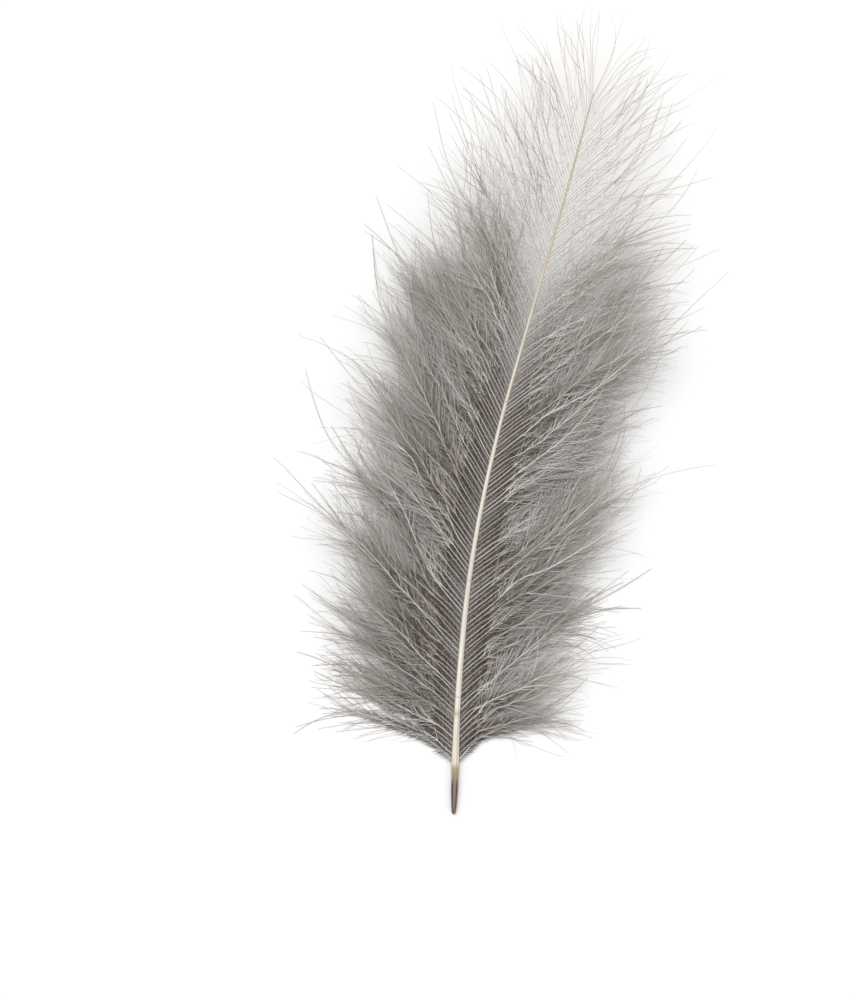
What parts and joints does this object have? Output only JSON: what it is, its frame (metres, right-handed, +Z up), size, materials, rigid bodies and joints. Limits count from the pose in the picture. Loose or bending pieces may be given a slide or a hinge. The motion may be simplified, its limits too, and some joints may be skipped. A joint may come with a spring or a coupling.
{
  "type": "cul de canard feather",
  "caption": "Soft grey downy duck feather lying flat: a thin bowed shaft on a short bare quill, with loose fine barbs that fan out on both sides to the tip.",
  "frame": {"origin": "on the surface that the feather lies on, under the middle of its box", "axes": "+Y from the quill to the feather's tip, +Z up from the surface"},
  "size_m": [0.0324, 0.062, 0.0065],
  "materials": {
    "down": "matte, soft grey-brown down",
    "quill": "satin ivory horn, brown at the quill's end"
  },
  "bodies": {
    "root": {"feather": "down"}
  },
  "joints": []
}
